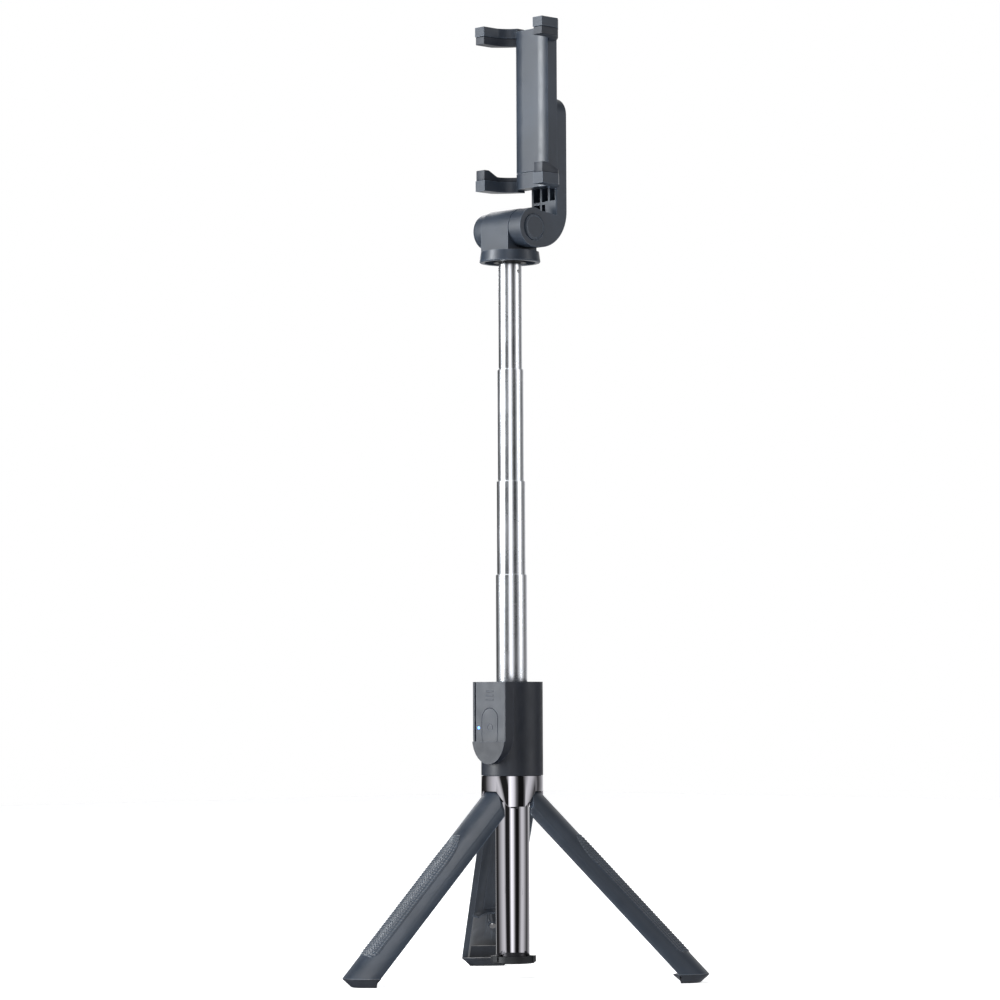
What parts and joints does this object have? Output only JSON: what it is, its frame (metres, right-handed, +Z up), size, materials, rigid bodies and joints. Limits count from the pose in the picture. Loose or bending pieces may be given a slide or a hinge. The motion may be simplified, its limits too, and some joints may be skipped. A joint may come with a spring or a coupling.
{
  "type": "tripod selfie stick",
  "caption": "Telescopic pole on a folding tripod with a tilting phone clamp and a docked remote",
  "frame": {"origin": "on the pole axis, at the flat underside of the lower tube's end cap; the feet stand 7.8 mm lower", "axes": "+Z up the pole; -Y is the way the phone plate and the dock face; +X is the tilt hinge's axis"},
  "size_m": [0.188, 0.1745, 0.495],
  "materials": {
    "slate_plastic": "moulded slate-grey plastic, satin",
    "collar_plastic": "soft-touch near-black plastic",
    "end_plastic": "black plastic",
    "remote_plastic": "fine satin plastic",
    "dark_chrome": "black chrome, mirror polished",
    "polished_steel": "polished stainless steel, drawn tube",
    "hardware": "zinc plated",
    "inner_plastic": "black acetal",
    "rubber": "matte rubber",
    "light_pipe": "blue indicator light",
    "board": "green circuit board"
  },
  "bodies": {
    "base": {"lower_tube": "dark_chrome", "end_cap": "end_plastic", "leg_hub": "inner_plastic", "leg_ring": "dark_chrome", "collar_shell": "collar_plastic", "throat_bush": "inner_plastic", "leg_pin_left": "hardware", "leg_pin_right": "hardware", "leg_pin_rear": "hardware"},
    "leg_left": {"leg_shell_left": "slate_plastic", "foot_left": "rubber", "leg_screw_left": "hardware"},
    "leg_right": {"leg_shell_right": "slate_plastic", "foot_right": "rubber", "leg_screw_right": "hardware"},
    "leg_rear": {"leg_shell_rear": "slate_plastic", "foot_rear": "rubber", "leg_screw_rear": "hardware"},
    "pole_4": {"tube_4": "polished_steel", "guide_bush_4": "inner_plastic"},
    "pole_3": {"tube_3": "polished_steel", "guide_bush_3": "inner_plastic"},
    "pole_2": {"tube_2": "polished_steel", "guide_bush_2": "inner_plastic"},
    "pole_1": {"tube_1": "polished_steel", "guide_bush_1": "inner_plastic", "head_plug": "inner_plastic", "tube_pin": "hardware", "swivel_screw": "hardware"},
    "head": {"head_base": "slate_plastic", "hinge_bolt": "hardware", "hinge_nut": "hardware", "hinge_side_cover": "slate_plastic"},
    "arm": {"arm_frame": "slate_plastic", "friction_washer": "hardware", "hinge_cap": "slate_plastic"},
    "holder": {"holder_front": "slate_plastic", "holder_back": "slate_plastic", "pivot_screw": "hardware", "pivot_washer": "hardware", "cover_screw_lower": "hardware", "cover_screw_upper": "hardware", "upper_pad_far": "rubber", "upper_pad_near": "rubber", "jaw_spring_far": "hardware", "jaw_spring_near": "hardware"},
    "jaw": {"lower_jaw": "slate_plastic", "lower_pad_far": "rubber", "lower_pad_near": "rubber", "jaw_rod_far": "polished_steel", "jaw_rod_near": "polished_steel"},
    "remote": {"remote_front_cover": "remote_plastic", "remote_back_cover": "remote_plastic", "remote_light": "light_pipe", "remote_board": "board", "switch_dome": "hardware", "coin_cell": "polished_steel"},
    "remote_button": {"remote_button": "remote_plastic"}
  },
  "joints": [
    {"name": "leg_left_fold", "type": "hinge", "parent": "base", "child": "leg_left", "pos_m": [-0.00111, -0.01155, 0.0848], "axis": [-0.9954, 0.0958, 0], "range_deg": [-45, 0]},
    {"name": "leg_right_fold", "type": "hinge", "parent": "base", "child": "leg_right", "pos_m": [0.01056, 0.00481, 0.0848], "axis": [0.4147, -0.91, 0], "range_deg": [-45, 0]},
    {"name": "leg_rear_fold", "type": "hinge", "parent": "base", "child": "leg_rear", "pos_m": [-0.00944, 0.00674, 0.0848], "axis": [0.5807, 0.8141, 0], "range_deg": [-45, 0]},
    {"name": "pole_4_slide", "type": "slide", "parent": "base", "child": "pole_4", "axis": [0, 0, 1], "range_m": [-0.055, 0.054]},
    {"name": "pole_3_slide", "type": "slide", "parent": "pole_4", "child": "pole_3", "axis": [0, 0, 1], "range_m": [-0.047, 0.06]},
    {"name": "pole_2_slide", "type": "slide", "parent": "pole_3", "child": "pole_2", "axis": [0, 0, 1], "range_m": [-0.057, 0.05]},
    {"name": "pole_1_slide", "type": "slide", "parent": "pole_2", "child": "pole_1", "axis": [0, 0, 1], "range_m": [-0.054, 0.054]},
    {"name": "head_swivel", "type": "hinge", "parent": "pole_1", "child": "head", "pos_m": [0, 0, 0.365], "axis": [0, 0, 1], "continuous": true},
    {"name": "head_tilt", "type": "hinge", "parent": "head", "child": "arm", "pos_m": [0, 0, 0.38], "axis": [1, 0, 0], "range_deg": [-8, 90]},
    {"name": "holder_turn", "type": "hinge", "parent": "arm", "child": "holder", "pos_m": [0.00884, 0.0157, 0.441], "axis": [0, 1, 0], "range_deg": [-90, 90]},
    {"name": "jaw_slide", "type": "slide", "parent": "holder", "child": "jaw", "axis": [0, 0, -1], "range_m": [0, 0.009], "stiffness_N_per_m": 250, "springref_m": -0.01, "deforming": ["jaw_spring_far", "jaw_spring_near"]},
    {"name": "remote_slide", "type": "slide", "parent": "base", "child": "remote", "axis": [0, 0, 1], "range_m": [0, 0.045]},
    {"name": "remote_press", "type": "slide", "parent": "remote", "child": "remote_button", "axis": [-0.0698, 0.9976, 0], "range_m": [0, 0.0003], "stiffness_N_per_m": 1200, "springref_m": -0.0003}
  ]
}
